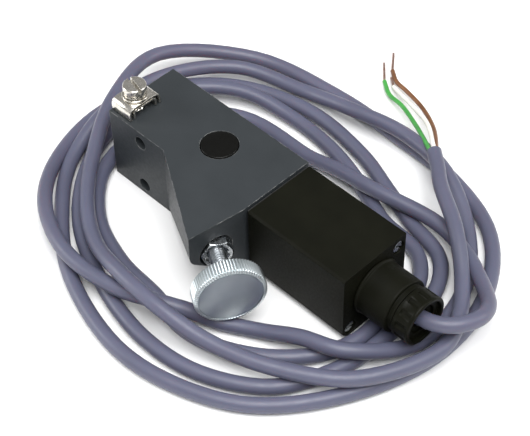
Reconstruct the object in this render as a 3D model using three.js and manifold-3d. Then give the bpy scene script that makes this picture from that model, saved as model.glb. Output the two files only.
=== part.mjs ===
// A small pressure-operated limit switch: a metal valve block with an angled adjusting
// screw, a plastic switch housing, an earth terminal, a cable gland and a coiled cable.
// Millimetres, +Z up. The origin is the middle of the body's underside. The cable gland
// faces +X, and the adjusting screw and the mounting holes' near ends face -Y.
import * as THREE from 'three';
import { mergeVertices } from 'three/addons/utils/BufferGeometryUtils.js';
import Module from 'manifold-3d';

const wasm = await Module();
wasm.setup();

// ---- driving dimensions ----
const GAP = 0.3; // clearance between neighbouring pieces
const SECTION = 30; // the block is square in section
const HALF = SECTION / 2;
const BLOCK_LENGTH = 67;
const HOUSING_LENGTH = 44;
const BODY_LENGTH = BLOCK_LENGTH + HOUSING_LENGTH;
const LEFT = -BODY_LENGTH / 2;
const JOINT_X = LEFT + BLOCK_LENGTH; // where the block meets the housing
const RIGHT = BODY_LENGTH / 2;
const HOUSING_INSET = 0.6; // the housing is a little smaller than the block
const HOUSING_WALL = 2.2;
const HOUSING_END_WALL = 3;

const WEDGE_ROOT_X = -27.5; // where the wedge boss leaves the block's side
const WEDGE_TIP = [8.2, -36.6];
const WEDGE_SLOPE = 0.84; // rise of its underside per millimetre away from the block
const WEDGE_EDGE_RADIUS = 4;

const SCREW_ANGLE = THREE.MathUtils.degToRad(30); // adjusting screw, away from +X towards -Y
const SCREW_DATUM = new THREE.Vector3(9.8, -26.55, 18); // its axis at the wedge's front face
const SCREW_RADIUS = 3; // M6
const SPOT_FACE_RADIUS = 6.05;
const SPOT_FACE_DEPTH = 3.2;
const TAPPED_DEPTH = 14;
const SPRING_BORE_RADIUS = 4.4;
const SPRING_BORE_DEPTH = 35;
const HEAD_RADIUS = 12.2;
const HEAD_THICKNESS = 6;
const HEAD_START = 14.4;
const HEAD_CHAMFER = 1.2;
const NUT_ACROSS_FLATS = 10;
const NUT_THICKNESS = 5;

const MOUNT_HOLE = { x: -39.8, radius: 2.6, heights: [4.2, 24.8] };
const PORT = { x: -15.8, radius: 6.5, depth: 6.5 };
const PISTON = { y: 0, z: 15, bore: 6 };
const POCKET = { x0: -27, x1: -17.5, y0: -13, y1: 12, top: 20.5 };
const PIVOT = { x: -22.3, y: 9.3, radius: 1.2 };
const PUSH_ROD = { y: -3.5, z: 15, radius: 1.5 };
const COVER = { x0: -34.5, x1: -10.5, y: 13.2, thickness: 1.2, screws: [[-31, 9.5], [-13.5, -9.5]] };
const EARTH = { x: -50.3, y: -6.8, length: 9.6, width: 14, screw: 2.5 };
const HOUSING_SCREWS = [[11, 25.2], [-11, 4.2]]; // y and z of each
const SWITCH = { x: 20, depth: 10.2, length: 19.8, width: 6.4, z: 15 };
const GLAND_Z = 16;

const CORD_RADIUS = 2.7;
const CORE_RADIUS = 0.85;
const CORE_COLOURS = { brown: 0x6b4226, white: 0xe6e2da, green: 0x3f9142 };

const Z_AXIS = new THREE.Vector3(0, 0, 1);
const X_AXIS = new THREE.Vector3(1, 0, 0);
const SCREW_AXIS = new THREE.Vector3(Math.cos(SCREW_ANGLE), -Math.sin(SCREW_ANGLE), 0);

// ---- materials ----
const material = (color, roughness, metalness) =>
  new THREE.MeshStandardMaterial({ color, roughness, metalness });
const blockPaint = () => material(0x444a4e, 0.45, 0.5);
const blackPlastic = () => material(0x23231f, 0.55, 0);
const zincPlate = () => material(0xc9ccce, 0.28, 1);
const nickelPlate = () => material(0xc4bfb4, 0.25, 1);
const springSteel = () => material(0x8d9196, 0.35, 1);
const sealRubber = () => material(0x161616, 0.8, 0);
const copper = () => material(0xb98a72, 0.35, 1);
const cablePlastic = () => material(0x77758a, 0.5, 0);

// ---- solids ----
function toManifold(geometry) {
  const bare = geometry.clone();
  bare.deleteAttribute('normal');
  bare.deleteAttribute('uv');
  const merged = mergeVertices(bare, 1e-4);
  const mesh = new wasm.Mesh({
    numProp: 3,
    vertProperties: new Float32Array(merged.attributes.position.array),
    triVerts: new Uint32Array(merged.index.array),
  });
  return new wasm.Manifold(mesh);
}

function toGeometry(manifold) {
  const { vertProperties, triVerts } = manifold.getMesh();
  const geometry = new THREE.BufferGeometry();
  geometry.setAttribute('position', new THREE.BufferAttribute(vertProperties, 3));
  geometry.setIndex(new THREE.BufferAttribute(triVerts, 1));
  geometry.computeVertexNormals();
  return geometry;
}

function cut(geometry, ...tools) {
  const solid = tools.reduce((left, tool) => left.subtract(toManifold(tool)), toManifold(geometry));
  return toGeometry(solid);
}

function join(geometry, ...others) {
  return toGeometry(others.reduce((sum, other) => sum.add(toManifold(other)), toManifold(geometry)));
}

function overlapOf(a, b) {
  return toGeometry(toManifold(a).intersect(toManifold(b)));
}

function box(x0, x1, y0, y1, z0, z1) {
  const geometry = new THREE.BoxGeometry(x1 - x0, y1 - y0, z1 - z0);
  return geometry.translate((x0 + x1) / 2, (y0 + y1) / 2, (z0 + z1) / 2);
}

function outlineShape(points) {
  return new THREE.Shape(points.map(([x, y]) => new THREE.Vector2(x, y)));
}

function slabOf(points, z0, z1) {
  const geometry = new THREE.ExtrudeGeometry(outlineShape(points), { depth: z1 - z0, bevelEnabled: false });
  return geometry.translate(0, 0, z0);
}

// A body turned around Z, from its [radius, height] outline.
function turned(outline, segments = 40) {
  const points = outline.map(([radius, height]) => new THREE.Vector2(radius, height));
  return new THREE.LatheGeometry(points, segments).rotateX(Math.PI / 2);
}

function disc(radius, z0, z1, segments = 40) {
  return turned([[0, z0], [radius, z0], [radius, z1], [0, z1]], segments);
}

function ring(outer, inner, z0, z1, segments = 40) {
  return turned([[inner, z0], [outer, z0], [outer, z1], [inner, z1], [inner, z0]], segments);
}

function hexagon(acrossFlats, z0, z1) {
  const corner = acrossFlats / 2 / Math.cos(Math.PI / 6);
  return disc(corner, z0, z1, 6);
}

// Turns a shape made around Z so that it lies along an axis through a point.
function along(geometry, axis, point) {
  geometry.applyQuaternion(new THREE.Quaternion().setFromUnitVectors(Z_AXIS, axis));
  return geometry.translate(point.x, point.y, point.z);
}

const alongX = (geometry, x, y, z) => along(geometry, X_AXIS, new THREE.Vector3(x, y, z));
const alongScrew = (geometry) => along(geometry, SCREW_AXIS, SCREW_DATUM);
const at = (geometry, x, y, z) => geometry.translate(x, y, z);

// Everything on the far side of a plane, as a large block.
function beyond(normal, point) {
  const size = 200;
  const slab = new THREE.BoxGeometry(size, size, size).translate(0, 0, size / 2);
  return along(slab, normal, point);
}

function tubeAlong(points, radius, sides, steps, spaced = true) {
  const path = new THREE.CatmullRomCurve3(points.map((point) => new THREE.Vector3(...point)));
  if (!spaced) {
    path.getSpacedPoints = path.getPoints; // a step at each listed point
  }
  const angles = Array.from({ length: sides }, (_, side) => (2 * Math.PI * side) / sides);
  const section = outlineShape(angles.map((a) => [radius * Math.cos(a), radius * Math.sin(a)]));
  return new THREE.ExtrudeGeometry(section, { steps, extrudePath: path, bevelEnabled: false });
}

// ---- the valve block ----
function wedgeBoss() {
  const near = -HALF + 1;
  const plan = [[WEDGE_ROOT_X, near], [WEDGE_ROOT_X, -HALF], WEDGE_TIP, [JOINT_X, -HALF], [JOINT_X, near]];
  const column = slabOf(plan, 0, SECTION);
  const side = new THREE.Vector3(WEDGE_TIP[1] + HALF, WEDGE_ROOT_X - WEDGE_TIP[0], 0).normalize();
  const under = new THREE.Vector3(0, -WEDGE_SLOPE, -1).normalize();
  const root = new THREE.Vector3(WEDGE_ROOT_X, -HALF, 0);
  const inwards = WEDGE_EDGE_RADIUS / (1 + side.dot(under));
  const roundingAxis = root.clone().addScaledVector(side, -inwards).addScaledVector(under, -inwards);
  const facets = 4;
  const tools = [];
  for (let facet = 1; facet <= facets; facet += 1) {
    const normal = side.clone().lerp(under, facet / facets).normalize();
    const tangent = roundingAxis.clone().addScaledVector(normal, WEDGE_EDGE_RADIUS);
    tools.push(beyond(normal, tangent));
  }
  return cut(column, ...tools);
}

function mountingHoles() {
  return MOUNT_HOLE.heights.map((height) => {
    const hole = disc(MOUNT_HOLE.radius, -HALF - 1, HALF + 1, 32).rotateX(Math.PI / 2);
    return at(hole, MOUNT_HOLE.x, 0, height);
  });
}

function screwBores() {
  const past = 25;
  return [
    alongScrew(disc(SPOT_FACE_RADIUS, -SPOT_FACE_DEPTH, past)),
    alongScrew(disc(SCREW_RADIUS + GAP, -TAPPED_DEPTH - 1, past, 24)),
    alongScrew(disc(SPRING_BORE_RADIUS, -SPRING_BORE_DEPTH, -TAPPED_DEPTH, 32)),
  ];
}

function pressureBores() {
  const portFloor = SECTION - PORT.depth - GAP;
  const pistonBore = alongX(disc(PISTON.bore, LEFT - 1, POCKET.x0 + 1, 32), 0, PISTON.y, PISTON.z);
  const port = at(disc(PORT.radius + GAP, portFloor, SECTION + 1), PORT.x, 0, 0);
  const channelStart = new THREE.Vector3(-20, 0, 25);
  const channelEnd = new THREE.Vector3(-36, 0, 19.5);
  const channelAxis = channelEnd.clone().sub(channelStart);
  const channelLength = channelAxis.length();
  const channel = along(disc(1.1, 0, channelLength, 16), channelAxis.normalize(), channelStart);
  return [pistonBore, port, channel];
}

function leverSpaces() {
  const pocket = box(POCKET.x0, POCKET.x1, POCKET.y0, POCKET.y1, -1, POCKET.top);
  const pinSocket = at(disc(PIVOT.radius + GAP, 0, POCKET.top + 2, 24), PIVOT.x, PIVOT.y, 0);
  const rodLength = JOINT_X - POCKET.x1 + 2;
  const rod = disc(PUSH_ROD.radius + GAP, 0, rodLength, 24);
  const rodBore = alongX(rod, POCKET.x1 - 1, PUSH_ROD.y, PUSH_ROD.z);
  const recessHalf = COVER.y + GAP;
  const recess = box(COVER.x0 - GAP, COVER.x1 + GAP, -recessHalf, recessHalf, -1, COVER.thickness + GAP);
  const screwHoles = COVER.screws.map(([x, y]) => at(disc(1.25 + GAP, -1, 7, 20), x, y, 0));
  return [pocket, pinSocket, rodBore, recess, ...screwHoles];
}

function valveBlock() {
  const bar = box(LEFT, JOINT_X, -HALF, HALF, 0, SECTION);
  const earthHole = at(disc(EARTH.screw + GAP, SECTION - 8.5, SECTION + 1, 24), EARTH.x, EARTH.y, 0);
  const housingHoles = HOUSING_SCREWS.map(([y, z]) => alongX(disc(1.7, -9, 1, 20), JOINT_X, y, z));
  const tools = [...mountingHoles(), ...screwBores(), ...pressureBores(), ...leverSpaces()];
  return cut(join(bar, wedgeBoss()), ...tools, earthHole, ...housingHoles);
}

// ---- pressure side ----
function portPlug() {
  const edge = 0.4;
  const outline = [
    [0, -PORT.depth], [PORT.radius, -PORT.depth], [PORT.radius, 0], [PORT.radius - edge, edge], [0, edge],
  ];
  return at(turned(outline), PORT.x, 0, SECTION);
}

function endPlug() {
  const radius = PISTON.bore - GAP;
  const body = turned([[0, 0.6], [2.6, 0.6], [2.6, 0], [radius, 0], [radius, 18], [0, 18]], 32);
  return alongX(body, LEFT, PISTON.y, PISTON.z);
}

const PISTON_NOSE_X = -24.9;

function piston() {
  const radius = PISTON.bore - GAP;
  const outline = [
    [0, -8], [radius, -8], [radius, -6.4], [4.2, -6.4], [4.2, -4.2], [radius, -4.2], [radius, -2.6],
    [2.5, -2.6], [2.5, 0], [0, 0],
  ];
  return alongX(turned(outline, 32), PISTON_NOSE_X, PISTON.y, PISTON.z);
}

function pistonSeal() {
  const radius = PISTON.bore - GAP;
  return alongX(ring(radius, 4.2 + GAP, -6.1, -4.5, 32), PISTON_NOSE_X, PISTON.y, PISTON.z);
}

function rocker() {
  const bar = box(-24.6, -20, -11.8, 11.2, 12.4, 19.6);
  const pinHole = at(disc(PIVOT.radius + GAP, 10, 22, 24), PIVOT.x, PIVOT.y, 0);
  const seatRelief = alongScrew(disc(4.4, -34.4, -25, 24));
  return cut(bar, pinHole, seatRelief);
}

const pivotPin = () => at(disc(PIVOT.radius, 2, POCKET.top + 1.6, 24), PIVOT.x, PIVOT.y, 0);

function pushRod() {
  const start = -19.7;
  const end = SWITCH.x - 2.3;
  return alongX(disc(PUSH_ROD.radius, 0, end - start, 24), start, PUSH_ROD.y, PUSH_ROD.z);
}

function bottomCover() {
  const plate = box(COVER.x0, COVER.x1, -COVER.y, COVER.y, 0, COVER.thickness);
  return cut(plate, ...COVER.screws.map(([x, y]) => at(disc(2.6, -1, 2, 24), x, y, 0)));
}

function coverScrew([x, y]) {
  const head = turned([[0, 0.1], [2.2, 0.1], [2.2, 1.2], [1.25, 1.2], [1.25, 6.5], [0, 6.5]], 24);
  return cut(at(head, x, y, 0), box(x - 3, x + 3, y - 0.35, y + 0.35, -1, 0.6));
}

// ---- adjusting screw, made around Z and placed by the adjuster group ----
function thumbScrew() {
  const back = HEAD_START;
  const face = back + HEAD_THICKNESS;
  const edge = HEAD_RADIUS - HEAD_CHAMFER;
  return turned([
    [0, -17], [SCREW_RADIUS - 0.6, -17], [SCREW_RADIUS, -16.2], [SCREW_RADIUS, back], [edge, back],
    [HEAD_RADIUS, back + HEAD_CHAMFER], [HEAD_RADIUS, face - HEAD_CHAMFER], [edge, face],
    [edge - 0.8, face - 0.25], [0, face - 0.5],
  ], 48);
}

function lockNut() {
  const back = -SPOT_FACE_DEPTH + GAP;
  const front = back + NUT_THICKNESS;
  const corner = NUT_ACROSS_FLATS / 2 / Math.cos(Math.PI / 6);
  const flat = NUT_ACROSS_FLATS / 2;
  const dome = turned([
    [0, back], [flat, back], [corner, back + 0.6], [corner, front - 0.6], [flat, front], [0, front],
  ]);
  const blank = overlapOf(hexagon(NUT_ACROSS_FLATS, back, front), dome);
  return cut(blank, disc(SCREW_RADIUS + GAP, back - 1, front + 1, 24));
}

const springPlate = () => disc(4, -19, -17.3, 32);

function springSeat() {
  return join(disc(3.3, -33.2, -31.9, 32), disc(1.2, -34, -33, 16));
}

function rangeSpring() {
  const start = -31.2;
  const end = -19.7;
  const turns = 6;
  const pointsPerTurn = 12;
  const points = [];
  for (let step = 0; step <= turns * pointsPerTurn; step += 1) {
    const angle = (2 * Math.PI * step) / pointsPerTurn;
    const height = start + ((end - start) * step) / (turns * pointsPerTurn);
    points.push([2.6 * Math.cos(angle), 2.6 * Math.sin(angle), height]);
  }
  return tubeAlong(points, 0.4, 6, turns * pointsPerTurn, false);
}

// ---- earth terminal ----
// An inverted U of sheet, open towards +X and -X, with rounded bends.
function channelSheet(width, height, sheet, bend) {
  const half = width / 2;
  const shape = new THREE.Shape();
  shape.moveTo(-half, 0);
  shape.lineTo(-half + sheet, 0);
  shape.lineTo(-half + sheet, height - bend);
  shape.absarc(-half + bend, height - bend, bend - sheet, Math.PI, Math.PI / 2, true);
  shape.lineTo(half - bend, height - sheet);
  shape.absarc(half - bend, height - bend, bend - sheet, Math.PI / 2, 0, true);
  shape.lineTo(half - sheet, 0);
  shape.lineTo(half, 0);
  shape.lineTo(half, height - bend);
  shape.absarc(half - bend, height - bend, bend, 0, Math.PI / 2, false);
  shape.lineTo(-half + bend, height);
  shape.absarc(-half + bend, height - bend, bend, Math.PI / 2, Math.PI, false);
  const options = { depth: EARTH.length, curveSegments: 5, bevelEnabled: false };
  const sheetMetal = new THREE.ExtrudeGeometry(shape, options).translate(0, 0, -EARTH.length / 2);
  sheetMetal.rotateX(Math.PI / 2);
  sheetMetal.rotateZ(Math.PI / 2);
  return sheetMetal;
}

const earthHole = () => disc(EARTH.screw + GAP, -1, 10, 24);
const earthBase = () => cut(channelSheet(EARTH.width - 3.6, 3.8, 0.7, 1.6), earthHole());
const earthSaddle = () => cut(channelSheet(EARTH.width, 4.9, 0.7, 2.4), earthHole());
const plainWasher = () => ring(4.75, EARTH.screw + GAP, 0, 0.7, 32);
const springWasher = () => ring(4.1, EARTH.screw + GAP, 0, 0.7, 32);

function earthScrew() {
  const headHeight = 2.8;
  const head = turned([
    [0, -12], [EARTH.screw, -12], [EARTH.screw, 0], [4.15, 0], [4.15, headHeight - 0.5],
    [3.6, headHeight], [0, headHeight],
  ], 40);
  const slot = box(-5, 5, -0.6, 0.6, headHeight - 1.5, headHeight + 1);
  return cut(head, slot.rotateZ(THREE.MathUtils.degToRad(-14)));
}

// ---- switch housing and what it holds ----
const HOUSING_START = JOINT_X + 3 * GAP + 0.2;
const HOUSING_HALF = HALF - HOUSING_INSET;

function housingGasket() {
  const outer = box(JOINT_X + GAP, JOINT_X + GAP + 0.5, -13.8, 13.8, 1.2, 28.8);
  const holes = HOUSING_SCREWS.map(([y, z]) => alongX(disc(1.9, -2, 3, 20), JOINT_X, y, z));
  return cut(outer, box(JOINT_X, JOINT_X + 2, -8.6, 8.6, 2.6, 27.4), ...holes);
}

function switchHousing() {
  const bottom = HOUSING_INSET;
  const top = SECTION - HOUSING_INSET;
  const bevel = 2.2;
  const outline = [
    [-HOUSING_HALF + bevel, bottom], [HOUSING_HALF, bottom], [HOUSING_HALF, top],
    [-HOUSING_HALF + 0.8, top], [-HOUSING_HALF, top - 0.8], [-HOUSING_HALF, bottom + bevel],
  ];
  const length = RIGHT - HOUSING_START;
  const shell = slabOf(outline, 0, length).rotateX(Math.PI / 2).rotateZ(Math.PI / 2);
  shell.translate(HOUSING_START, 0, 0);
  const inner = HOUSING_HALF - HOUSING_WALL;
  const cavityEnd = RIGHT - HOUSING_END_WALL;
  const floor = bottom + HOUSING_WALL;
  const cavity = box(HOUSING_START - 1, cavityEnd, -inner, inner, floor, top - HOUSING_WALL);
  const posts = HOUSING_SCREWS.map(([y, z]) => alongX(disc(3.2, 0, length - 1, 24), HOUSING_START, y, z));
  const drill = disc(1.7, -2, length + 2, 20);
  const screwHoles = HOUSING_SCREWS.map(([y, z]) => alongX(drill.clone(), HOUSING_START, y, z));
  const headWells = HOUSING_SCREWS.map(([y, z]) => alongX(disc(2.6, -2.4, 1, 28), RIGHT, y, z));
  const glandHole = alongX(disc(6.5 + GAP, -6, 1, 32), RIGHT, 0, GLAND_Z);
  return cut(join(cut(shell, cavity), ...posts), ...screwHoles, ...headWells, glandHole);
}

function housingScrew([y, z]) {
  const length = HOUSING_LENGTH + 5;
  const outline = [
    [0, -length], [1.4, -length], [1.4, -2.1], [2.25, -2.1], [2.25, -0.7], [1.95, -0.4], [0, -0.4],
  ];
  const slot = box(-0.35, 0.35, -3, 3, -1.3, 1);
  return alongX(cut(turned(outline, 28), slot.rotateZ(0.5)), RIGHT, y, z);
}

function switchCase() {
  const half = SWITCH.length / 2;
  const z0 = SWITCH.z - SWITCH.width / 2;
  const body = box(SWITCH.x, SWITCH.x + SWITCH.depth, -half, half, z0, z0 + SWITCH.width);
  const buttonWell = alongX(disc(0.9 + GAP, -1, 2, 16), SWITCH.x, 2.5, SWITCH.z);
  const fixings = [-5, 5].map((y) => at(disc(1.2, 0, 30, 16), SWITCH.x + 7.4, y, 0));
  return cut(body, buttonWell, ...fixings);
}

const switchButton = () => alongX(disc(0.9, -1.35, 0.9, 16), SWITCH.x, 2.5, SWITCH.z);

function switchBlade() {
  const leaf = box(SWITCH.x - 2, SWITCH.x - 1.65, -6, 8.8, SWITCH.z - 1.8, SWITCH.z + 1.8);
  const knuckle = box(SWITCH.x - 2, SWITCH.x - 0.4, 8, 8.8, SWITCH.z - 1.8, SWITCH.z + 1.8);
  return join(leaf, knuckle);
}

function terminal(y) {
  const start = SWITCH.x + SWITCH.depth + GAP;
  return box(start, start + 4.5, y - 0.3, y + 0.3, SWITCH.z - 1.5, SWITCH.z + 1.5);
}

function switchBracket() {
  const shelfTop = SWITCH.z - SWITCH.width / 2 - GAP;
  const shelf = box(JOINT_X + GAP, SWITCH.x + SWITCH.depth, -8, 8, shelfTop - 1.2, shelfTop);
  const foot = box(JOINT_X + GAP, JOINT_X + GAP + 1.2, -7, 8, 6, shelfTop);
  return join(shelf, foot);
}

function innerCore(y) {
  const terminalX = SWITCH.x + SWITCH.depth + 5.2;
  const bundleY = y * 0.27;
  const points = [
    [terminalX, y, SWITCH.z], [terminalX + 4, y * 0.9, 15.2], [45, y * 0.3, 16], [56.6, bundleY, 16],
  ];
  return tubeAlong(points, CORE_RADIUS, 8, 10);
}

// ---- cable gland, made around Z and placed by the gland group; Z is 0 at the housing ----
function glandBody() {
  return turned([
    [3.3, -8], [6.5, -8], [6.5, 0.3], [10.3, 0.3], [10.3, 1], [9.8, 1.4], [9.8, 12.4], [9.2, 13],
    [8.4, 13], [8.4, 14.6], [7.2, 14.6], [7.2, 18.4], [6.3, 18.4], [6.3, 15], [3.3, 13.5], [3.3, -8],
  ], 48);
}

const glandLocknut = () => cut(hexagon(16, -6, -3.3), disc(6.5 + GAP, -7, 0, 32));
const glandSeal = () => ring(6, CORD_RADIUS + GAP, 15.4, 18.2, 32);
const glandRing = () => ring(6.2, 3.4, 18.7, 19.3, 32);

function glandNut() {
  const shell = turned([
    [7.5, 15], [9, 15], [9, 21.2], [8.4, 21.8], [7.9, 21.8], [7.5, 21.4], [7.5, 20.3], [5.4, 20.3],
    [5.4, 19.6], [7.5, 19.6], [7.5, 15],
  ], 48);
  const ribs = 8;
  const grooves = [];
  for (let rib = 0; rib < ribs; rib += 1) {
    const groove = disc(1.3, 14, 20.6, 10).translate(9.9, 0, 0);
    grooves.push(groove.rotateZ((2 * Math.PI * rib) / ribs));
  }
  return cut(shell, ...grooves);
}

// ---- cable ----
// Out of the gland, round to the right and down to the floor.
const CORD_EXIT = [
  [57, 0, 16], [66, 0, 16], [74.5, 0.1, 16.1], [80.5, 1.3, 16.8], [86, 5.6, 17.2], [88.4, 12.5, 16.4],
  [86.6, 19.5, 14], [81.5, 25.3, 11.2], [74.5, 30.5, 9.2], [65, 35.8, 8.4],
];
// Each loop around the switch: degrees from +X, reach from the middle, height of the centre.
const CORD_LOOPS = [
  [[40, 63, 7.6], [60, 41.8, 8.6], [80, 37, 6.4], [105, 37.5, 2.8], [140, 53, 2.8], [165, 62.4, 2.8],
    [195, 61, 2.8], [220, 54.5, 2.8], [245, 48, 2.8], [270, 45.5, 2.8], [288, 51, 2.8], [302, 54.4, 2.8],
    [320, 58, 2.8], [336, 60.8, 2.8], [348, 61.2, 2.8]],
  [[0, 59.8, 2.8], [16, 61.8, 2.8], [30, 57.2, 2.8], [45, 44.8, 2.8], [62, 41.4, 2.8], [80, 42, 2.8],
    [100, 46, 2.8], [120, 53.6, 3.2], [140, 63.5, 6.6], [160, 70.5, 6.5], [180, 71.5, 3.6], [200, 66.5, 2.8],
    [225, 60.4, 2.8], [255, 57.2, 2.8], [280, 61, 2.8], [300, 66, 2.8], [320, 69.8, 2.8], [336, 68.6, 2.8],
    [348, 67, 2.8]],
  [[0, 65.6, 2.8], [16, 67.9, 2.8], [30, 64.8, 2.8], [45, 53.8, 2.8], [62, 49.4, 2.8], [85, 50.5, 2.8],
    [115, 59.2, 2.8], [140, 70, 2.8], [160, 77, 2.8], [180, 80.5, 2.8], [200, 78.4, 3.2], [220, 73, 7.2],
    [240, 65.5, 8.6], [260, 56.5, 8.6], [279, 49.4, 8.8], [290, 46.2, 6.4], [301, 45, 3.1],
    [318, 47.6, 3.2], [331, 55.8, 7.6], [341, 66.8, 8.9]],
  [[0, 75, 3.2], [20, 76.2, 2.8], [40, 73.5, 3.6], [60, 69.5, 8.4], [80, 65.5, 8.4], [100, 61.8, 8.4],
    [120, 68, 4.2], [140, 77, 6.3], [160, 77.8, 8.6], [180, 75.5, 8.4], [200, 73.1, 3.2], [220, 67.6, 2.8],
    [245, 65.8, 2.8], [275, 69, 2.8], [295, 72.5, 2.8], [315, 76.4, 2.8], [338, 78.5, 2.8]],
  [[0, 82, 2.8], [20, 83.5, 2.8], [40, 81, 2.8], [60, 73, 2.8], [85, 66.5, 2.8], [110, 71, 2.8],
    [135, 84, 4.4], [160, 87.5, 11.2], [180, 73, 14.3], [200, 63, 10.8], [220, 58, 8.6], [240, 55, 9.8],
    [260, 53.5, 14], [280, 54.5, 14.2], [300, 58, 9.8], [320, 66, 8.4], [340, 78, 8.4]],
  [[0, 84.2, 8.2], [10, 81, 8.5], [20, 75.5, 10.2], [33, 69, 14.4]],
];
// The free end, lying over the other loops.
const CORD_END = [[41, 49.5, 14.6], [34, 56, 14.3], [28.5, 60.5, 14.2]];

function loopPoint([degrees, reach, height]) {
  const angle = THREE.MathUtils.degToRad(degrees);
  return [reach * Math.cos(angle), reach * Math.sin(angle), height];
}

const cordRoute = () => [...CORD_EXIT, ...CORD_LOOPS.flat().map(loopPoint), ...CORD_END];
const cord = () => tubeAlong(cordRoute(), CORD_RADIUS, 8, cordRoute().length - 1, false);

// Each core from the cable's end to its stripped tip, then its bare conductor's end.
const CORE_ROUTES = {
  brown: [[28.7, 61.7, 13.7], [17.6, 73.6, 8.6], [5, 82.2, 4.8], [-6, 86.2, 3.4], [-13, 88.2, 2.6],
    [-19, 92.6, 1.6]],
  white: [[28, 60.9, 15.2], [15.4, 72.4, 10.4], [2, 80, 5.4], [-7, 83.9, 2.8], [-12.5, 86, 1.9]],
  green: [[27.3, 60.1, 13.7], [11.6, 71.2, 7.4], [-2, 78.6, 4], [-11, 81.8, 1.8], [-17.5, 86.4, 1.2]],
};
const CONDUCTOR_ENDS = { brown: [-26, 101, 1.2], white: [-17, 89.6, 1.4], green: [-25, 94.4, 1.1] };

const core = (colour) => tubeAlong(CORE_ROUTES[colour], CORE_RADIUS, 8, 14);

function conductor(colour) {
  const route = CORE_ROUTES[colour].map((point) => new THREE.Vector3(...point));
  const tip = route[route.length - 1];
  const direction = tip.clone().sub(route[route.length - 2]).normalize();
  const start = tip.clone().addScaledVector(direction, GAP + 0.1);
  const end = new THREE.Vector3(...CONDUCTOR_ENDS[colour]);
  const middle = start.clone().lerp(end, 0.5);
  return tubeAlong([start.toArray(), middle.toArray(), end.toArray()], 0.5, 8, 4);
}

// ---- assembly ----
function named(name, geometry, finish) {
  const mesh = new THREE.Mesh(geometry, finish);
  mesh.name = name;
  return mesh;
}

function groupAt(position, axis) {
  const group = new THREE.Group();
  group.position.copy(position);
  group.quaternion.setFromUnitVectors(Z_AXIS, axis);
  return group;
}

function adjuster() {
  const group = groupAt(SCREW_DATUM, SCREW_AXIS);
  const nut = named('lock_nut', lockNut(), zincPlate());
  nut.rotation.z = THREE.MathUtils.degToRad(23);
  group.add(named('thumb_screw', thumbScrew(), zincPlate()), nut);
  group.add(named('spring_plate', springPlate(), zincPlate()));
  group.add(named('range_spring', rangeSpring(), springSteel()));
  group.add(named('spring_seat', springSeat(), zincPlate()));
  return group;
}

function earthTerminal() {
  const group = groupAt(new THREE.Vector3(EARTH.x, EARTH.y, SECTION + GAP), Z_AXIS);
  const base = named('earth_base', earthBase(), nickelPlate());
  const saddle = named('earth_saddle', earthSaddle(), nickelPlate());
  const flatWasher = named('earth_plain_washer', plainWasher(), nickelPlate());
  flatWasher.position.z = 5.2;
  const splitWasher = named('earth_spring_washer', springWasher(), nickelPlate());
  splitWasher.position.z = 6.2;
  const screw = named('earth_screw', earthScrew(), nickelPlate());
  screw.position.z = 7.2;
  group.add(base, saddle, flatWasher, splitWasher, screw);
  return group;
}

function gland() {
  const group = groupAt(new THREE.Vector3(RIGHT, 0, GLAND_Z), X_AXIS);
  group.add(named('gland_body', glandBody(), blackPlastic()), named('gland_nut', glandNut(), blackPlastic()));
  group.add(named('gland_locknut', glandLocknut(), nickelPlate()));
  group.add(named('gland_seal', glandSeal(), sealRubber()), named('gland_ring', glandRing(), blackPlastic()));
  return group;
}

function pressureSide() {
  const group = new THREE.Group();
  group.add(named('port_plug', portPlug(), blackPlastic()), named('end_plug', endPlug(), zincPlate()));
  group.add(named('piston', piston(), zincPlate()), named('piston_seal', pistonSeal(), sealRubber()));
  group.add(named('rocker', rocker(), zincPlate()), named('pivot_pin', pivotPin(), springSteel()));
  group.add(named('push_rod', pushRod(), springSteel()), named('bottom_cover', bottomCover(), blockPaint()));
  COVER.screws.forEach((place, index) => {
    group.add(named(`cover_screw_${index + 1}`, coverScrew(place), zincPlate()));
  });
  return group;
}

function switchSide() {
  const group = new THREE.Group();
  group.add(named('housing_gasket', housingGasket(), sealRubber()));
  group.add(named('switch_housing', switchHousing(), blackPlastic()));
  HOUSING_SCREWS.forEach((place, index) => {
    group.add(named(`housing_screw_${index + 1}`, housingScrew(place), zincPlate()));
  });
  group.add(named('switch_case', switchCase(), blackPlastic()));
  group.add(named('switch_button', switchButton(), sealRubber()));
  group.add(named('switch_blade', switchBlade(), springSteel()));
  group.add(named('switch_bracket', switchBracket(), zincPlate()));
  const terminals = { common: -7.5, closed: 0, open: 7.5 };
  Object.entries(terminals).forEach(([name, y], index) => {
    const colour = Object.keys(CORE_COLOURS)[index];
    group.add(named(`terminal_${name}`, terminal(y), nickelPlate()));
    group.add(named(`inner_core_${colour}`, innerCore(y), material(CORE_COLOURS[colour], 0.5, 0)));
  });
  return group;
}

function cable() {
  const group = new THREE.Group();
  group.add(named('cord', cord(), cablePlastic()));
  for (const [colour, hex] of Object.entries(CORE_COLOURS)) {
    group.add(named(`core_${colour}`, core(colour), material(hex, 0.5, 0)));
    group.add(named(`conductor_${colour}`, conductor(colour), copper()));
  }
  return group;
}

const assembly = new THREE.Group();
assembly.add(named('valve_block', valveBlock(), blockPaint()));
assembly.add(pressureSide(), adjuster(), earthTerminal(), switchSide(), gland(), cable());

export default assembly;
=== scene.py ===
"""Looks for the pressure-operated limit switch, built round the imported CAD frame.

Sizes are in millimetres unless a name says otherwise, and mm() turns them into metres.
"""
import math

import bmesh
import bpy
from mathutils import Matrix, Quaternion, Vector


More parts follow.
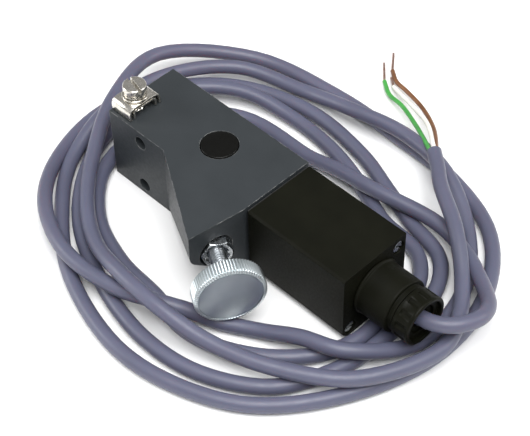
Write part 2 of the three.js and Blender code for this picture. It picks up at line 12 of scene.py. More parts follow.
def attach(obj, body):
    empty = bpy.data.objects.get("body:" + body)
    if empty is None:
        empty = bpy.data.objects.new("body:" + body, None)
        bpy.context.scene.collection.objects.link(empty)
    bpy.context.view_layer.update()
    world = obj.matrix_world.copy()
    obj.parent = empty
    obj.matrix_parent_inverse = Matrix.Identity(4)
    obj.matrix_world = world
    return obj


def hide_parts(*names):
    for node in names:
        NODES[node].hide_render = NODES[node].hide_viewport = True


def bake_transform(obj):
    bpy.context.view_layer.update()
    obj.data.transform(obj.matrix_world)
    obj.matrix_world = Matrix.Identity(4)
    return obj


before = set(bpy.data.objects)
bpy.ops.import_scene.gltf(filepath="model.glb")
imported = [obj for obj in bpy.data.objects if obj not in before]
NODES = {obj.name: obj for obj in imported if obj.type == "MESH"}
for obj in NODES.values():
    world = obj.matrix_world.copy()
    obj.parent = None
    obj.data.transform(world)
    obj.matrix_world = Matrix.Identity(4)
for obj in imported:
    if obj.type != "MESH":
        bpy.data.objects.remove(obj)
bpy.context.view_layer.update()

X_AXIS = Vector((1, 0, 0))
Z_AXIS = Vector((0, 0, 1))
SCREW_AXIS = Vector((math.cos(math.radians(30)), -math.sin(math.radians(30)), 0))
SCREW_DATUM = Vector((9.8, -26.55, 18))
GLAND_START = Vector((55.5, 0, 16))
GLAND_GRIP_RADIUS = 8.96
HOUSING_SCREWS = [(11, 25.2), (-11, 4.2)]
NUT_SPIN = math.radians(53)
CORD_RADIUS = 2.7
CORE_RADIUS = 0.85

# The cable's route, as in the CAD: out of the gland and down to the floor, then each loop
# (degrees from +X, reach from the middle, height of the centre), then the free end.
CORD_EXIT = [
    (57, 0, 16), (66, 0, 16), (74.5, 0.1, 16.1), (80.5, 1.3, 16.8), (86, 5.6, 17.2), (88.4, 12.5, 16.4),
    (86.6, 19.5, 14), (81.5, 25.3, 11.2), (74.5, 30.5, 9.2), (65, 35.8, 8.4),
]
CORD_LOOPS = [
    [(40, 63, 7.6), (60, 41.8, 8.6), (80, 37, 6.4), (105, 37.5, 2.8), (140, 53, 2.8), (165, 62.4, 2.8),
     (195, 61, 2.8), (220, 54.5, 2.8), (245, 48, 2.8), (270, 45.5, 2.8), (288, 51, 2.8), (302, 54.4, 2.8),
     (320, 58, 2.8), (336, 60.8, 2.8), (348, 61.2, 2.8)],
    [(0, 59.8, 2.8), (16, 61.8, 2.8), (30, 57.2, 2.8), (45, 44.8, 2.8), (62, 41.4, 2.8), (80, 42, 2.8),
     (100, 46, 2.8), (120, 53.6, 3.2), (140, 63.5, 6.6), (160, 70.5, 6.5), (180, 71.5, 3.6), (200, 66.5, 2.8),
     (225, 60.4, 2.8), (255, 57.2, 2.8), (280, 61, 2.8), (300, 66, 2.8), (320, 69.8, 2.8), (336, 68.6, 2.8),
     (348, 67, 2.8)],
    [(0, 65.6, 2.8), (16, 67.9, 2.8), (30, 64.8, 2.8), (45, 53.8, 2.8), (62, 49.4, 2.8), (85, 50.5, 2.8),
     (115, 59.2, 2.8), (140, 70, 2.8), (160, 77, 2.8), (180, 80.5, 2.8), (200, 78.4, 3.2), (220, 73, 7.2),
     (240, 65.5, 8.6), (260, 56.5, 8.6), (279, 49.4, 8.8), (290, 46.2, 6.4), (301, 45, 3.1),
     (318, 47.6, 3.2), (331, 55.8, 7.6), (341, 66.8, 8.9)],
    [(0, 75, 3.2), (20, 76.2, 2.8), (40, 73.5, 3.6), (60, 69.5, 8.4), (80, 65.5, 8.4), (100, 61.8, 8.4),
     (120, 68, 4.2), (140, 77, 6.3), (160, 77.8, 8.6), (180, 75.5, 8.4), (200, 73.1, 3.2), (220, 67.6, 2.8),
     (245, 65.8, 2.8), (275, 69, 2.8), (295, 72.5, 2.8), (315, 76.4, 2.8), (338, 78.5, 2.8)],
    [(0, 82, 2.8), (20, 83.5, 2.8), (40, 81, 2.8), (60, 73, 2.8), (85, 66.5, 2.8), (110, 71, 2.8),
     (135, 84, 4.4), (160, 87.5, 11.2), (180, 73, 14.3), (200, 63, 10.8), (220, 58, 8.6), (240, 55, 9.8),
     (260, 53.5, 14), (280, 54.5, 14.2), (300, 58, 9.8), (320, 66, 8.4), (340, 78, 8.4)],
    [(0, 84.2, 8.2), (10, 81, 8.5), (20, 75.5, 10.2), (33, 69, 14.4)],
]
CORD_END = [(41, 49.5, 14.6), (34, 56, 14.3), (28.5, 60.5, 14.2)]
CORE_ROUTES = {
    "brown": [(28.7, 61.7, 13.7), (17.6, 73.6, 8.6), (5, 82.2, 4.8), (-6, 86.2, 3.4), (-13, 88.2, 2.6),
              (-19, 92.6, 1.6)],
    "white": [(28, 60.9, 15.2), (15.4, 72.4, 10.4), (2, 80, 5.4), (-7, 83.9, 2.8), (-12.5, 86, 1.9)],
    "green": [(27.3, 60.1, 13.7), (11.6, 71.2, 7.4), (-2, 78.6, 4), (-11, 81.8, 1.8), (-17.5, 86.4, 1.2)],
}
CONDUCTOR_ENDS = {"brown": (-26, 101, 1.2), "white": (-17, 89.6, 1.4), "green": (-25, 94.4, 1.1)}


def mm(point):
    return Vector(point) * 0.001


# ---- camera ----
def look_basis(azimuth, elevation, roll):
    a, e, r = (math.radians(angle) for angle in (azimuth, elevation, roll))
    back = Vector((math.sin(a) * math.cos(e), -math.cos(a) * math.cos(e), math.sin(e)))
    level = Vector((math.cos(a), math.sin(a), 0))
    upright = back.cross(level)
    right = level * math.cos(r) + upright * math.sin(r)
    up = upright * math.cos(r) - level * math.sin(r)
    return right, up, back


def make_camera():
    right, up, back = look_basis(46.52, 47.56, -1.72)
    data = bpy.data.cameras.new("camera")
    data.sensor_width = 36
    data.lens = 100.3
    data.clip_start = 0.01
    camera = bpy.data.objects.new("camera", data)
    bpy.context.collection.objects.link(camera)
    place = mm((-0.93, 6.05, 0)) + back * 0.516
    camera.matrix_world = Matrix((right, up, back)).transposed().to_4x4()
    camera.location = place
    bpy.context.scene.camera = camera


# ---- materials ----
class Paint:
    """A principled material and short ways to wire its nodes."""

    def __init__(self, name, color, roughness, metallic=0.0, gloss=0.5):
        self.material = bpy.data.materials.new(name)
        self.material.use_nodes = True
        self.nodes = self.material.node_tree.nodes
        self.links = self.material.node_tree.links
        self.shader = self.nodes["Principled BSDF"]
        self.shader.inputs["Base Color"].default_value = (*color, 1)
        self.shader.inputs["Roughness"].default_value = roughness
        self.shader.inputs["Metallic"].default_value = metallic
        self.shader.inputs["Specular IOR Level"].default_value = gloss
        self.coords = self.nodes.new("ShaderNodeTexCoord").outputs["Object"]

    def node(self, kind, **values):
        made = self.nodes.new(kind)
        for key, value in values.items():
            if key in made.inputs:
                made.inputs[key].default_value = value
            else:
                setattr(made, key, value)
        return made

    def link(self, source, target):
        self.links.new(source, target)
        return self

    def noise(self, scale, detail=3.0, stretch=None):
        made = self.node("ShaderNodeTexNoise", Scale=scale, Detail=detail)
        source = self.coords
        if stretch:
            mapping = self.node("ShaderNodeMapping", Scale=stretch)
            self.link(source, mapping.inputs["Vector"])
            source = mapping.outputs["Vector"]
        self.link(source, made.inputs["Vector"])
        return made.outputs["Fac"]

    def ramp(self, source, low, high, start=0.3, end=0.7):
        made = self.node("ShaderNodeValToRGB")
        made.color_ramp.elements[0].position = start
        made.color_ramp.elements[1].position = end
        made.color_ramp.elements[0].color = low if len(low) == 4 else (*low, 1)
        made.color_ramp.elements[1].color = high if len(high) == 4 else (*high, 1)
        self.link(source, made.inputs["Fac"])
        return made.outputs["Color"]

    def vary_color(self, source, low, high, start=0.3, end=0.7):
        return self.link(self.ramp(source, low, high, start, end), self.shader.inputs["Base Color"])

    def vary_roughness(self, source, low, high, start=0.3, end=0.7):
        grey = self.ramp(source, (low,) * 3, (high,) * 3, start, end)
        return self.link(grey, self.shader.inputs["Roughness"])

    def round_edges(self, radius):
        """Shades the edges as if they were rounded to this radius, in millimetres."""
        edge = self.node("ShaderNodeBevel", samples=6, Radius=radius * 0.001)
        return self.link(edge.outputs["Normal"], self.shader.inputs["Normal"])

    def bump(self, source, distance, strength=1.0):
        """Adds relief of this depth, in millimetres."""
        made = self.node("ShaderNodeBump", Strength=strength, Distance=distance * 0.001)
        self.link(source, made.inputs["Height"])
        links = self.shader.inputs["Normal"].links
        if links:
            self.link(links[0].from_socket, made.inputs["Normal"])
        return self.link(made.outputs["Normal"], self.shader.inputs["Normal"])

    def wear_and_edge_highlight(self, color, amount=0.8, radius=0.35):
        """Light colour on the edges, partly rubbed paint and partly a painted edge highlight."""
        edge = self.node("ShaderNodeBevel", samples=6, Radius=radius * 0.001)
        face = self.node("ShaderNodeNewGeometry")
        facing = self.node("ShaderNodeVectorMath", operation="DOT_PRODUCT")
        self.link(edge.outputs["Normal"], facing.inputs[0])
        self.link(face.outputs["Normal"], facing.inputs[1])
        patches = self.ramp(self.noise(420, 4), (0, 0, 0), (amount,) * 3, 0.42, 0.62)
        # edge mask for the light colour: rubbed paint and a painted edge highlight
        rubbed_and_highlit_edges = self.ramp(facing.outputs["Value"], (1, 1, 1), (0, 0, 0), 0.86, 0.97)
        both = self.node("ShaderNodeMath", operation="MULTIPLY")
        self.link(rubbed_and_highlit_edges, both.inputs[0])
        self.link(patches, both.inputs[1])
        mix = self.node("ShaderNodeMix", data_type="RGBA")
        base = self.shader.inputs["Base Color"].links[0].from_socket
        self.link(both.outputs[0], mix.inputs["Factor"])
        self.link(base, mix.inputs["A"])
        mix.inputs["B"].default_value = (*color, 1)
        return self.link(mix.outputs["Result"], self.shader.inputs["Base Color"])


def block_paint():
    paint = Paint("block_paint", (0.028, 0.0322, 0.0355), 0.45, gloss=0.24)
    paint.vary_color(paint.noise(60, 4), (0.025, 0.029, 0.032), (0.031, 0.0355, 0.039))
    paint.vary_roughness(paint.noise(900, 2), 0.38, 0.52)
    # The light grey edges are partly wear and partly a painted edge highlight.
    paint.wear_and_edge_highlight((0.34, 0.34, 0.33))
    paint.round_edges(0.3)
    paint.bump(paint.noise(2600, 3), 0.02, 0.35)
    return paint.material


def moulded_black(name="moulded_black", roughness=0.5, radius=0.35):
    paint = Paint(name, (0.0052, 0.0054, 0.003), roughness, gloss=0.08)
    paint.vary_color(paint.noise(90, 4), (0.0042, 0.0044, 0.0024), (0.0062, 0.0064, 0.0036))
    paint.vary_roughness(paint.noise(1400, 2), roughness - 0.06, roughness + 0.08)
    paint.round_edges(radius)
    paint.bump(paint.noise(3200, 2), 0.018, 0.4)
    return paint.material


def zinc_plate():
    paint = Paint("zinc_plate", (0.66, 0.69, 0.71), 0.24, 1)
    paint.vary_color(paint.noise(240, 5), (0.56, 0.6, 0.63), (0.74, 0.755, 0.76))
    paint.vary_roughness(paint.noise(700, 4), 0.16, 0.34)
    paint.round_edges(0.15)
    paint.bump(paint.noise(1800, 3), 0.01, 0.3)
    return paint.material


def turned_zinc():
    """Zinc plate over lathe marks that run round the adjusting screw's axis."""
    paint = Paint("turned_zinc", (0.58, 0.63, 0.65), 0.34, 1)
    shift = paint.node("ShaderNodeMapping")
    shift.vector_type = "TEXTURE"
    shift.inputs["Location"].default_value = mm(SCREW_DATUM)
    shift.inputs["Rotation"].default_value = Z_AXIS.rotation_difference(SCREW_AXIS).to_euler()
    paint.link(paint.coords, shift.inputs["Vector"])
    rings = paint.node("ShaderNodeTexWave", wave_type="RINGS", rings_direction="Z", Scale=900.0)
    rings.inputs["Distortion"].default_value = 2.0
    rings.inputs["Detail"].default_value = 3.0
    rings.inputs["Detail Scale"].default_value = 4.0
    paint.link(shift.outputs["Vector"], rings.inputs["Vector"])
    paint.vary_color(paint.noise(110, 3), (0.55, 0.605, 0.625), (0.61, 0.66, 0.68), 0.35, 0.65)
    paint.vary_roughness(paint.noise(160, 3), 0.32, 0.37)
    paint.bump(rings.outputs["Fac"], 0.0015, 0.12)
    return paint.material


def shaded_thread_zinc():
    """Zinc plate darkened all over as painted shade, standing in for the shadow in the adjusting screw's
    thread grooves.
    """
    paint = Paint("shaded_thread_zinc", (0.3, 0.32, 0.34), 0.34, 1)
    paint.vary_color(paint.noise(400, 4), (0.22, 0.24, 0.26), (0.38, 0.4, 0.42))
    paint.bump(paint.noise(1800, 3), 0.008, 0.3)
    return paint.material


def nickel_plate():
    paint = Paint("nickel_plate", (0.7, 0.67, 0.62), 0.2, 1)
    paint.vary_color(paint.noise(300, 5), (0.6, 0.57, 0.51), (0.82, 0.79, 0.73))
    paint.vary_roughness(paint.noise(800, 4), 0.12, 0.32)
    paint.round_edges(0.12)
    paint.bump(paint.noise(2200, 3), 0.008, 0.3)
    return paint.material


def bare_steel(name="bare_steel"):
    paint = Paint(name, (0.4, 0.41, 0.43), 0.32, 1)
    paint.vary_color(paint.noise(200, 4), (0.33, 0.34, 0.36), (0.47, 0.48, 0.5))
    paint.bump(paint.noise(1500, 3), 0.01, 0.3)
    return paint.material


def seal_rubber():
    paint = Paint("seal_rubber", (0.012, 0.012, 0.012), 0.75)
    paint.vary_color(paint.noise(300, 3), (0.009, 0.009, 0.009), (0.018, 0.018, 0.018))
    paint.bump(paint.noise(2500, 2), 0.02, 0.4)
    return paint.material


def port_plastic():
    paint = Paint("port_plastic", (0.0035, 0.0035, 0.003), 0.3, gloss=0.14)
    paint.vary_color(paint.noise(120, 3), (0.003, 0.003, 0.0025), (0.004, 0.004, 0.0035))
    paint.vary_roughness(paint.noise(900, 3), 0.25, 0.4)
    paint.bump(paint.noise(1400, 2), 0.01, 0.3)
    return paint.material


def cable_sheath():
    paint = Paint("cable_sheath", (0.088, 0.092, 0.14), 0.42, gloss=0.45)
    paint.vary_color(paint.noise(45, 4), (0.081, 0.085, 0.129), (0.095, 0.099, 0.151))
    paint.vary_roughness(paint.noise(500, 3), 0.36, 0.48)
    paint.bump(paint.noise(260, 3), 0.03, 0.25)
    paint.shader.inputs["Subsurface Weight"].default_value = 0.04
    return paint.material


def insulation(name, low, high):
    paint = Paint(name, high, 0.38)
    paint.vary_color(paint.noise(260, 3), low, high)
    paint.bump(paint.noise(600, 2), 0.015, 0.25)
    return paint.material


def tinned_copper():
    paint = Paint("tinned_copper", (0.62, 0.42, 0.36), 0.3, 1)
    paint.vary_color(paint.noise(700, 4), (0.5, 0.28, 0.2), (0.72, 0.58, 0.54))
    paint.bump(paint.noise(2400, 2), 0.008, 0.3)
    return paint.material


# ---- mesh helpers ----
def add_piece(obj, material, body, replaced=()):
    """Gives a new object its body, hides the CAD nodes it replaces, and gives it a material unless it already
    has its own.
    """
    if material:
        obj.data.materials.clear()
        obj.data.materials.append(material)
    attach(obj, body)
    if replaced:
        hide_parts(*replaced)
    return obj


def mesh_object(name, vertices, faces, sharp_degrees=35):
    mesh = bpy.data.meshes.new(name)
    mesh.from_pydata([mm(vertex) for vertex in vertices], [], faces)
    work = bmesh.new()
    work.from_mesh(mesh)
    bmesh.ops.remove_doubles(work, verts=work.verts, dist=1e-7)
    bmesh.ops.recalc_face_normals(work, faces=work.faces)
    work.to_mesh(mesh)
    work.free()
    mesh.shade_smooth()
    mesh.set_sharp_from_angle(angle=math.radians(sharp_degrees))
    obj = bpy.data.objects.new(name, mesh)
    bpy.context.collection.objects.link(obj)
    return obj


def placed(point, axis, base, spin=0.0):
    turn = Z_AXIS.rotation_difference(axis) @ Quaternion(Z_AXIS, spin)
    return turn @ Vector(point) + Vector(base)


def revolve(name, outline, axis, base, segments=96, radius_at=None, spin=0.0):
    """A turned body: outline is [radius, height] from axis to axis, or a closed ring.

    radius_at(radius, height, angle) may change the radius round the turn, for a knurl or ribs.
    """
    closed = outline[0] == outline[-1]
    rows = outline[:-1] if closed else outline
    vertices = []
    for radius, height in rows:
        for step in range(segments):
            angle = 2 * math.pi * step / segments
            reach = radius_at(radius, height, angle) if radius_at else radius
            local = (reach * math.cos(angle), reach * math.sin(angle), height)
            vertices.append(placed(local, axis, base, spin))
    faces = []
    pairs = list(zip(range(len(rows)), range(1, len(rows))))
    if closed:
        pairs.append((len(rows) - 1, 0))
    for low, high in pairs:
        for step in range(segments):
            after = (step + 1) % segments
            faces.append([low * segments + step, low * segments + after,
                          high * segments + after, high * segments + step])
    return mesh_object(name, vertices, faces)


def box_cutter(size, centre, turn):
    bpy.ops.mesh.primitive_cube_add(size=1)
    cutter = bpy.context.object
    cutter.scale = mm(size)
    cutter.rotation_mode = "QUATERNION"
    cutter.rotation_quaternion = turn
    cutter.location = mm(centre)
    bpy.context.view_layer.update()
    return cutter


def cut_away(obj, cutter):
    """Cuts the cutter's shape out of obj for good, and removes the cutter."""
    modifier = obj.modifiers.new("cut", "BOOLEAN")
    modifier.operation = "DIFFERENCE"
    modifier.solver = "EXACT"
    modifier.object = cutter
    bake_modifiers(obj)
    bpy.data.objects.remove(cutter)


def bake_modifiers(obj, sharp_degrees=35):
    graph = bpy.context.evaluated_depsgraph_get()
    mesh = bpy.data.meshes.new_from_object(obj.evaluated_get(graph))
    obj.modifiers.clear()
    obj.data = mesh
    mesh.shade_smooth()
    mesh.set_sharp_from_angle(angle=math.radians(sharp_degrees))


def arc(centre_radius, centre_height, radius, start, end, steps=5):
    """Points round part of a circle in an outline, from start to end degrees."""
    points = []
    for step in range(steps + 1):
        angle = math.radians(start + (end - start) * step / steps)
        points.append((centre_radius + radius * math.cos(angle), centre_height + radius * math.sin(angle)))
    return points


# ---- cable ----
def smooth_route(points, steps=7):
    """A centripetal curve through every point."""
    knots = [Vector(point) for point in points]
    knots = [2 * knots[0] - knots[1], *knots, 2 * knots[-1] - knots[-2]]
    route = []
    for a, b, c, d in zip(knots, knots[1:], knots[2:], knots[3:]):
        t1 = math.sqrt((b - a).length)
        t2 = t1 + math.sqrt((c - b).length)
        t3 = t2 + math.sqrt((d - c).length)
        for step in range(steps):
            t = t1 + (t2 - t1) * step / steps
            ab = a.lerp(b, t / t1)
            bc = b.lerp(c, (t - t1) / (t2 - t1))
            cd = c.lerp(d, (t - t2) / (t3 - t2))
            abc = ab.lerp(bc, t / t2)
            bcd = bc.lerp(cd, (t - t1) / (t3 - t1))
            route.append(abc.lerp(bcd, (t - t1) / (t2 - t1)))
    return [*route, knots[-2]]


def rested(route, radius):
    """Keeps a route's centre at least a radius above the floor."""
    return [Vector((x, y, max(z, radius))) for x, y, z in route]


def tube(name, routes, radius, sides=4):
    """Round tubes of one radius along each route."""
    data = bpy.data.curves.new(name, "CURVE")
    data.dimensions = "3D"
    data.bevel_depth = radius * 0.001
    data.bevel_resolution = sides
    data.use_fill_caps = True
    for route in routes:
        spline = data.splines.new("POLY")
        spline.points.add(len(route) - 1)
        for point, place in zip(spline.points, route):
            point.co = (*mm(place), 1)
        spline.use_smooth = True
    obj = bpy.data.objects.new(name, data)
    bpy.context.collection.objects.link(obj)
    return obj


def loop_point(degrees, reach, height):
    angle = math.radians(degrees)
    return (reach * math.cos(angle), reach * math.sin(angle), height)


def conductor_route(colour):
    route = [Vector(point) for point in CORE_ROUTES[colour]]
    heading = (route[-1] - route[-2]).normalized()
    start = route[-1] + heading * 0.1
    end = Vector(CONDUCTOR_ENDS[colour])
    return smooth_route([start, start.lerp(end, 0.5), end], 12)


def strands(route, count=6, spread=0.32, turn_length=7.0):
    """Helical strands lying round a route."""
    twisted = []
    for strand in range(count):
        places = []
        travelled = 0.0
        for here, after in zip(route, route[1:]):
            heading = (after - here).normalized()
            side = heading.cross(Z_AXIS).normalized()
            rise = side.cross(heading)
            angle = 2 * math.pi * (strand / count + travelled / turn_length)
            places.append(here + side * (spread * math.cos(angle)) + rise * (spread * math.sin(angle)))
            travelled += (after - here).length
        twisted.append(places)
    return twisted


def make_cable():
    points = [*CORD_EXIT, *(loop_point(*place) for loop in CORD_LOOPS for place in loop), *CORD_END]
    route = rested(smooth_route(points), CORD_RADIUS + 0.02)
    sheath = tube("cable", [route], CORD_RADIUS, 5)
    add_piece(sheath, cable_sheath(), "body", ["cord"])
    colours = {
        "brown": insulation("brown_insulation", (0.13, 0.05, 0.018), (0.19, 0.08, 0.03)),
        "white": insulation("white_insulation", (0.68, 0.65, 0.6), (0.82, 0.8, 0.76)),
        "green": insulation("green_insulation", (0.035, 0.24, 0.04), (0.06, 0.34, 0.06)),
    }
    copper = tinned_copper()
    for colour, finish in colours.items():
        insulated = rested(smooth_route(CORE_ROUTES[colour], 10), CORE_RADIUS)
        core = tube(f"wire_{colour}", [insulated], CORE_RADIUS)
        add_piece(core, finish, "body", [f"core_{colour}"])
        bare = conductor_route(colour)
        bundle = tube(f"strands_{colour}", [bare[:-1], *strands(bare)], 0.17, 2)
        add_piece(bundle, copper, "body", [f"conductor_{colour}"])
        NODES[f"inner_core_{colour}"].data.materials.clear()
        NODES[f"inner_core_{colour}"].data.materials.append(finish)


# ---- adjusting screw ----
HEAD = {"radius": 12.2, "back": 14.4, "thickness": 6.0, "chamfer": 1.2, "knurls": 72}


def knurled(radius, height, angle):
    """Straight V knurling on the widest part of the head, running out through the face's chamfer."""
    edge = HEAD["radius"] - HEAD["chamfer"]
    if radius < edge or height < HEAD["back"] + 0.5:
        return radius
    phase = (angle * HEAD["knurls"] / (2 * math.pi)) % 1
    depth = 0.22 + 0.2 * (radius - edge) / HEAD["chamfer"]
    return radius - depth * abs(2 * phase - 1) ** 1.5


def thread_rows(start, end, radius, depth, pitch, name, axis, base, segments=36):
    """A screw thread as a ribbed cylinder whose ribs climb round it."""
    rows = int((end - start) / pitch * 8)
    vertices = []
    for row in range(rows + 1):
        height = start + (end - start) * row / rows
        for step in range(segments):
            angle = 2 * math.pi * step / segments
            phase = (height / pitch - step / segments) % 1
            reach = radius - depth * abs(2 * phase - 1)
            local = (reach * math.cos(angle), reach * math.sin(angle), height)
            vertices.append(placed(local, axis, base))
    faces = []
    for row in range(rows):
        for step in range(segments):
            after = (step + 1) % segments
            faces.append([row * segments + step, row * segments + after,
                          (row + 1) * segments + after, (row + 1) * segments + step])
    faces.append(list(range(segments)))
    faces.append([rows * segments + step for step in range(segments)])
    return mesh_object(name, vertices, faces, 60)


def joined(first, *others):
    bpy.ops.object.select_all(action="DESELECT")
    for obj in (first, *others):
        obj.select_set(True)
    bpy.context.view_layer.objects.active = first
    bpy.ops.object.join()
    return first


def make_thumb_screw():
    back = HEAD["back"]
    face = back + HEAD["thickness"]
    rim = HEAD["radius"]
    chamfer = HEAD["chamfer"]
    edge = rim - chamfer
    outline = [
        (0.001, back), (edge, back), (rim - 0.5, back + 0.35), (rim, back + 0.55), (rim, face - 0.75),
        (rim - 0.15, face - 0.5), (edge, face), (edge - 0.25, face - 0.1), (edge - 0.3, face - 0.4),
        (edge - 0.55, face - 0.4), (edge - 0.6, face - 0.14), (edge - 4, face - 0.2), (0.001, face - 0.22),
    ]
    head = revolve("thumb_screw_head", outline, SCREW_AXIS, SCREW_DATUM, HEAD["knurls"] * 6, knurled)
    shank = thread_rows(-17, back + 0.2, 3.0, 0.55, 1.0, "thumb_screw_shank", SCREW_AXIS, SCREW_DATUM)
    head.data.materials.append(turned_zinc())
    # The shank's darker plate is painted shade for the thread's grooves.
    shank.data.materials.append(shaded_thread_zinc())
    whole = joined(head, shank)
    whole.name = "knurled_thumb_screw"
    add_piece(whole, None, "adjusting_screw", ["thumb_screw"])


def make_lock_nut(zinc):
    """A hexagon nut whose corners are turned off to a cone at both ends."""
    flat, start, height, chamfer = 5, -2.9, 5, 0.6
    bore, countersink = 3.1, 4.2
    corner = flat / math.cos(math.pi / 6)

    def six_sided(radius, _, angle):
        return min(radius, flat / math.cos(angle % (math.pi / 3) - math.pi / 6)) if radius >= flat else radius

    slope = [(flat + (corner - flat) * step / 6, chamfer * step / 6) for step in range(7)]
    outline = [(radius, start + rise) for radius, rise in slope]
    outline += [(radius, start + height - rise) for radius, rise in reversed(slope)]
    outline += [(countersink, start + height), (bore, start + height - 1), (bore, start + 1),
                (countersink, start), outline[0]]
    nut = revolve("hexagon_lock_nut", outline, SCREW_AXIS, SCREW_DATUM, 96, six_sided, NUT_SPIN)
    add_piece(nut, zinc, "lock_nut", ["lock_nut"])


def make_range_spring():
    """The coil spring with closed end turns."""
    start, end = -30.5, -19.7
    turns, closed_rise = 5, 0.8
    coil_radius, wire_radius = 2.6, 0.36
    steps = 24

    def rise(turn):
        if turn < 1:
            return closed_rise * turn
        if turn > turns - 1:
            return end - start - closed_rise * (turns - turn)
        return closed_rise + (end - start - 2 * closed_rise) * (turn - 1) / (turns - 2)

    route = []
    for step in range(turns * steps + 1):
        angle = 2 * math.pi * step / steps
        local = (coil_radius * math.cos(angle), coil_radius * math.sin(angle), start + rise(step / steps))
        route.append(placed(local, SCREW_AXIS, SCREW_DATUM))
    wire = tube("spring_wire", [route], wire_radius, 2)
    graph = bpy.context.evaluated_depsgraph_get()
    spring = bpy.data.objects.new("coil_spring", bpy.data.meshes.new_from_object(wire.evaluated_get(graph)))
    bpy.data.objects.remove(wire)
    bpy.context.collection.objects.link(spring)
    spring.data.materials.clear()
    spring.data.materials.append(bare_steel("spring_steel"))
    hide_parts("range_spring")
    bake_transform(spring)


# ---- earth terminal ----
EARTH = Vector((-50.3, -6.8, 30.3))


def channel_outline(width, height, sheet, bend):
    """Section of an inverted U of sheet with rounded bends, as (y, z) points."""
    half = width / 2
    outer = [(half, 0), *arc(half - bend, height - bend, bend, 0, 90, 8),
             *arc(-half + bend, height - bend, bend, 90, 180, 8), (-half, 0)]
    inner = [(-half + sheet, 0), *arc(-half + bend, height - bend, bend - sheet, 180, 90, 8),
             *arc(half - bend, height - bend, bend - sheet, 90, 0, 8), (half - sheet, 0)]
    return [*outer, *inner]


def channel(name, width, height, sheet, bend, length=9.6):
    outline = channel_outline(width, height, sheet, bend)
    count = len(outline)
    vertices = []
    for x in (-length / 2, length / 2):
        vertices += [EARTH + Vector((x, y, z)) for y, z in outline]
    half = count // 2
    faces = [[i, (i + 1) % count, count + (i + 1) % count, count + i] for i in range(count)]
    for offset in (0, count):
        for i in range(half - 1):
            faces.append([offset + i, offset + i + 1, offset + count - 2 - i, offset + count - 1 - i])
    obj = mesh_object(name, vertices, faces)
    bevel = obj.modifiers.new("edges", "BEVEL")
    bevel.width = 0.00012
    bevel.segments = 2
    bevel.limit_method = "ANGLE"
    bake_modifiers(obj)
    hole = revolve("hole", [(0.001, -1), (2.8, -1), (2.8, 9), (0.001, 9)], Z_AXIS, EARTH, 48)
    cut_away(obj, hole)
    return obj


def spring_washer(name, inner, outer, thickness, rise, steps=80):
    """A split washer whose ends stand a little apart."""
    vertices = []
    gap = math.radians(9)
    for step in range(steps + 1):
        angle = gap / 2 + (2 * math.pi - gap) * step / steps + 2.2
        lift = 0.12 * (step / steps - 0.5)
        for radius, height in ((inner, 0), (outer, 0), (outer, thickness), (inner, thickness)):
            local = Vector((radius * math.cos(angle), radius * math.sin(angle), height + lift + rise))
            vertices.append(EARTH + local)
    faces = [[0, 1, 2, 3], [4 * steps + corner for corner in (3, 2, 1, 0)]]
    for step in range(steps):
        for corner in range(4):
            after = (corner + 1) % 4
            faces.append([4 * step + corner, 4 * step + 4 + corner, 4 * step + 4 + after, 4 * step + after])
    return mesh_object(name, vertices, faces)


def make_earth_terminal(nickel):
    add_piece(channel("earth_inner_saddle", 10.4, 3.8, 0.7, 1.6), nickel, "body", ["earth_base"])
    add_piece(channel("earth_outer_saddle", 14, 4.9, 0.7, 2.4), nickel, "body", ["earth_saddle"])
    flat = [(2.8, 5.2), (4.6, 5.2), *arc(4.65, 5.3, 0.1, -90, 0, 3), *arc(4.55, 5.7, 0.2, 0, 90, 4),
            (2.8, 5.9), (2.8, 5.2)]
    plain = revolve("earth_flat_washer", flat, Z_AXIS, EARTH, 96)
    add_piece(plain, nickel, "earth_washer", ["earth_plain_washer"])
    split = spring_washer("earth_split_washer", 2.8, 4.1, 0.62, 6.24)
    add_piece(split, nickel, "earth_washer", ["earth_spring_washer"])
    seat = 7.2
    top = seat + 2.8
    outline = [(0.001, seat), (3.9, seat), *arc(4.0, seat + 0.15, 0.15, -90, 0, 3),
               *arc(3.65, top - 0.5, 0.5, 0, 80, 5), (2.5, top), (0.001, top)]
    head = revolve("earth_screw_head", outline, Z_AXIS, EARTH, 96)
    turn = Quaternion(Z_AXIS, math.radians(-14))
    cut_away(head, box_cutter((12, 1.2, 3), EARTH + Vector((0, 0, top)), turn))
    shank = thread_rows(-4.7, seat + 0.3, 2.5, 0.42, 0.8, "earth_screw_shank", Z_AXIS, EARTH)
    whole = joined(head, shank)
    whole.name = "earth_cheese_head_screw"
    add_piece(whole, nickel, "earth_screw", ["earth_screw"])


# ---- port plug, gland and housing screws ----
def make_port_plug():
    base = Vector((-15.8, 0, 30))
    outline = [(0.001, -6.5), (6.5, -6.5), (6.5, -0.2), *arc(6.0, -0.2, 0.5, 0, 80, 8),
               (5, 0.34), (3, 0.4), (0.001, 0.42)]
    plug = revolve("port_cap", outline, Z_AXIS, base, 112)
    add_piece(plug, port_plastic(), "port_plug", ["port_plug"])


def ribbed(radius, height, angle):
    """Finger grooves cut lengthways into the gland nut's outside."""
    if radius != GLAND_GRIP_RADIUS:
        return radius
    phase = (angle * 12 / (2 * math.pi)) % 1
    distance = abs(phase - 0.5) * 2 * math.pi * 9 / 12
    return radius - 0.5 * max(0.0, 1 - (distance / 1.1) ** 2)


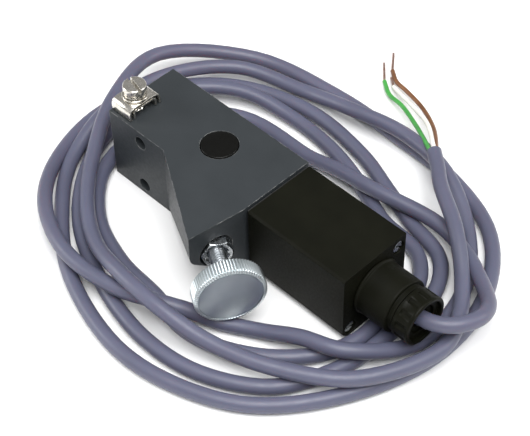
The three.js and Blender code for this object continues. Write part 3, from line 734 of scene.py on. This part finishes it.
def make_gland(black):
    body = [
        (3.3, -8), (6.5, -8), (6.5, 0.3), (10.2, 0.3), (10.3, 0.45), *arc(10, 0.8, 0.3, 0, 70, 4),
        (9.8, 1.4), (9.8, 12.2), *arc(9.2, 12.4, 0.6, 0, 90, 6), (8.5, 13), (8.4, 13.1), (8.4, 14.6),
        (7.2, 14.6), (7.2, 18.4), (6.3, 18.4), (6.3, 15), (3.3, 13.5), (3.3, -8),
    ]
    turned = revolve("gland_sleeve", body, X_AXIS, GLAND_START, 96)
    add_piece(turned, black, "body", ["gland_body"])
    nut = [
        (7.5, 15), (8.8, 15), (9, 15.2), (9, 16.4), (GLAND_GRIP_RADIUS, 16.5),
        (GLAND_GRIP_RADIUS, 20.4), (9, 20.5), (9, 21),
        *arc(8.4, 21.2, 0.6, 0, 90, 6), *arc(7.9, 21.4, 0.4, 90, 180, 5), (7.5, 20.3), (5.6, 20.3),
        *arc(5.5, 20.2, 0.1, 90, 180, 3), (5.4, 19.6), (7.5, 19.6), (7.5, 15),
    ]
    cap = revolve("gland_cap_nut", nut, X_AXIS, GLAND_START, 8 * 24, ribbed)
    add_piece(cap, moulded_black("gland_black", 0.36, 0.2), "gland_nut", ["gland_nut"])


def make_housing_screws(zinc):
    for index, (y, z) in enumerate(HOUSING_SCREWS, 1):
        base = Vector((55.5, y, z))
        outline = [(0.001, -48), (1.4, -48), (1.4, -2.1), (2.25, -2.1), *arc(1.95, -0.7, 0.3, 0, 80, 4),
                   (1.2, -0.38), (0.001, -0.36)]
        screw = revolve(f"housing_slotted_screw_{index}", outline, X_AXIS, base, 64)
        turn = Quaternion(X_AXIS, 0.5 + 0.4 * index)
        cut_away(screw, box_cutter((1.8, 0.7, 6), base + Vector((-0.4, 0, 0)), turn))
        add_piece(screw, zinc, "body", [f"housing_screw_{index}"])


# ---- CAD nodes that stay ----
def dress(finish, *names):
    for name in names:
        NODES[name].data.materials.clear()
        NODES[name].data.materials.append(finish)


def dress_frame(zinc, nickel, black):
    steel = bare_steel()
    rubber = seal_rubber()
    dress(block_paint(), "valve_block", "bottom_cover")
    dress(black, "switch_housing", "gland_ring")
    dress(moulded_black("switch_black", 0.4, 0.15), "switch_case", "switch_button")
    dress(zinc, "spring_plate", "spring_seat", "end_plug", "piston", "rocker", "cover_screw_1",
          "cover_screw_2", "switch_bracket")
    dress(nickel, "gland_locknut", "terminal_common", "terminal_closed", "terminal_open")
    dress(steel, "pivot_pin", "push_rod", "switch_blade")
    dress(rubber, "piston_seal", "housing_gasket", "gland_seal")


# ---- floor and light ----
def make_floor():
    bpy.ops.mesh.primitive_plane_add(size=6)
    floor = bpy.context.object
    floor.name = "floor"
    floor.location = (0, 0, -0.0002)
    paint = Paint("floor", (0.88, 0.88, 0.88), 0.9)
    floor.data.materials.append(paint.material)


def area_light(name, place, target, size, power):
    data = bpy.data.lights.new(name, "AREA")
    data.shape = "DISK"
    data.size = size
    data.energy = power
    light = bpy.data.objects.new(name, data)
    light.location = place
    light.rotation_mode = "QUATERNION"
    light.rotation_quaternion = (Vector(target) - Vector(place)).to_track_quat("-Z", "Y")
    bpy.context.collection.objects.link(light)


def make_light():
    world = bpy.data.worlds.new("studio")
    world.use_nodes = True
    world.node_tree.nodes["Background"].inputs["Color"].default_value = (1, 1, 1, 1)
    world.node_tree.nodes["Background"].inputs["Strength"].default_value = 0.35
    bpy.context.scene.world = world
    area_light("overhead", (0.3, -0.2, 1.0), (0, 0, 0), 0.9, 16)
    area_light("left_fill", (-0.8, -0.6, 0.45), (0, 0, 0), 0.6, 5)
    area_light("right_fill", (0.7, 0.7, 0.6), (0, 0, 0), 0.5, 4)
    bpy.context.scene.view_settings.view_transform = "Standard"


make_camera()
make_cable()
zinc = zinc_plate()
nickel = nickel_plate()
black = moulded_black()
make_thumb_screw()
make_lock_nut(zinc)
make_range_spring()
make_earth_terminal(nickel)
make_port_plug()
make_gland(black)
make_housing_screws(zinc)
dress_frame(zinc, nickel, black)
make_floor()
make_light()
